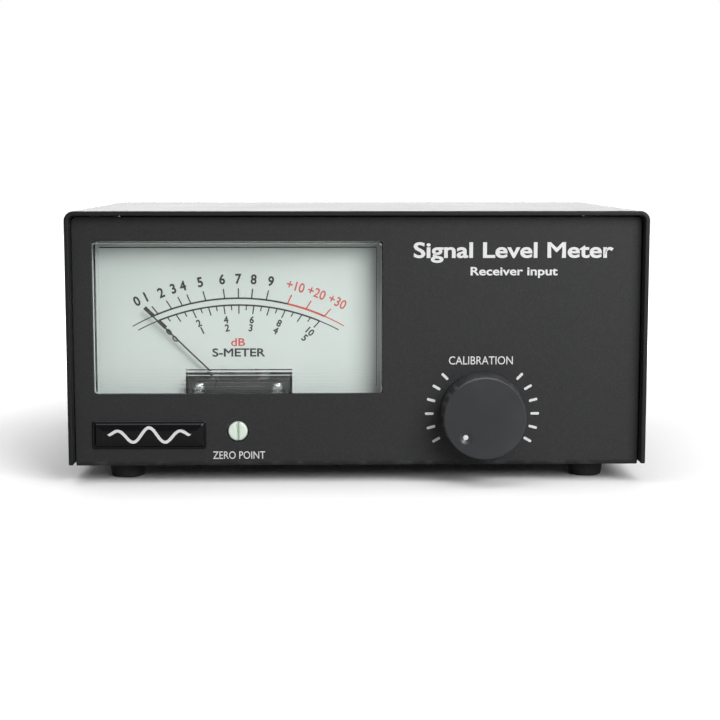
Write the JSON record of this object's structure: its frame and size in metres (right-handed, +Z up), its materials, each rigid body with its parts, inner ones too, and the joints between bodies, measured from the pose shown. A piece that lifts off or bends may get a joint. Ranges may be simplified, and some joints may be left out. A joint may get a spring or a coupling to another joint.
{
  "type": "signal strength meter",
  "caption": "Desk-top signal-strength meter: folded black case, moving-coil dial behind a clear window, calibration knob, mechanical zero adjuster and rear sockets.",
  "frame": {"origin": "middle of the footprint, on the surface that the rubber feet stand on", "axes": "+X to the right of someone facing the dial, along the longest side; +Y from the dial into the case; +Z up"},
  "size_m": [0.1532, 0.109, 0.071],
  "materials": {
    "black_paint": "fine-textured matt powder coat",
    "foot_rubber": "moulded, matt",
    "black_screw": "black oxide, satin",
    "bright_screw": "nickel plated, bright",
    "clear_plastic": "clear polished styrene",
    "white_plastic": "white moulded plastic, satin",
    "dial_white": "printed, matt",
    "black_plastic": "moulded, satin",
    "soft_iron": "plain grey metal",
    "magnet_alloy": "ground alloy",
    "brass": "plain brass",
    "copper_wire": "enamelled copper winding",
    "pointer_black": "matt black",
    "nylon": "translucent natural nylon",
    "knob_black": "satin black, bright edge",
    "mark_white": "white filling",
    "board_green": "solder-masked fibre board",
    "phenolic": "brown laminate",
    "lamp_glass": "clear lamp glass",
    "badge_black": "glossy domed black",
    "plated_steel": "zinc plated, satin"
  },
  "bodies": {
    "case": {"cover": "black_paint", "chassis": "black_paint", "foot_front_left": "foot_rubber", "foot_front_right": "foot_rubber", "foot_rear_left": "foot_rubber", "foot_rear_right": "foot_rubber", "foot_screw_front_left": "bright_screw", "foot_screw_front_right": "bright_screw", "foot_screw_rear_left": "bright_screw", "foot_screw_rear_right": "bright_screw", "cover_screw_front_left": "black_screw", "cover_screw_front_right": "black_screw", "cover_screw_rear_left": "black_screw", "cover_screw_rear_right": "black_screw", "front_badge": "badge_black", "meter_lens": "clear_plastic", "meter_case": "white_plastic", "dial_plate": "dial_white", "dial_screw_left": "bright_screw", "dial_screw_right": "bright_screw", "movement_screw_left": "bright_screw", "movement_screw_right": "bright_screw", "bracket_screw_left": "bright_screw", "bracket_screw_right": "bright_screw", "terminal_minus": "brass", "terminal_plus": "brass", "front_jewel_screw": "brass", "rear_jewel_screw": "brass", "rear_bridge": "brass", "rear_hairspring": "brass", "meter_lamp": "lamp_glass", "lamp_board": "phenolic", "pot_wafer": "phenolic", "meter_bracket": "plated_steel", "pot_bushing": "plated_steel", "pot_can": "plated_steel", "pot_washer": "plated_steel", "pot_nut": "plated_steel", "signal_jack_nut": "plated_steel", "power_jack_nut": "plated_steel", "yoke_ring": "soft_iron", "core_magnet": "magnet_alloy", "movement_frame": "black_plastic", "front_bridge": "black_plastic", "signal_jack": "black_plastic", "power_jack": "black_plastic", "board_support_left": "nylon", "board_support_right": "nylon", "circuit_board": "board_green"},
    "control": {"knob": "knob_black", "knob_dot": "mark_white", "pot_shaft": "plated_steel", "pot_wiper": "brass"},
    "adjuster": {"zero_adjuster": "nylon"},
    "lever": {"zero_lever": "brass", "front_hairspring": "brass"},
    "movement": {"pointer": "pointer_black", "moving_coil": "copper_wire", "front_staff": "plated_steel", "rear_staff": "plated_steel"}
  },
  "joints": [
    {"name": "knob_turn", "type": "hinge", "parent": "case", "child": "control", "pos_m": [0.0325, -0.05, 0.0182], "axis": [0, 1, 0], "range_deg": [0, 270]},
    {"name": "zero_adjust", "type": "hinge", "parent": "case", "child": "adjuster", "pos_m": [-0.03125, -0.044, 0.0138], "axis": [0, 1, 0], "range_deg": [-45, 45]},
    {"name": "zero_lever_swing", "type": "hinge", "parent": "case", "child": "lever", "pos_m": [-0.03125, -0.041, 0.0217], "axis": [0, 1, 0], "range_deg": [-8, 8]},
    {"name": "pointer_swing", "type": "hinge", "parent": "case", "child": "movement", "pos_m": [-0.03125, -0.0395, 0.0217], "axis": [0, 1, 0], "range_deg": [0, 92], "stiffness_Nm_per_rad": 0.0001}
  ],
  "couplings": [
    {"joint": "zero_lever_swing", "follows": "zero_adjust", "ratio": -0.165}
  ]
}
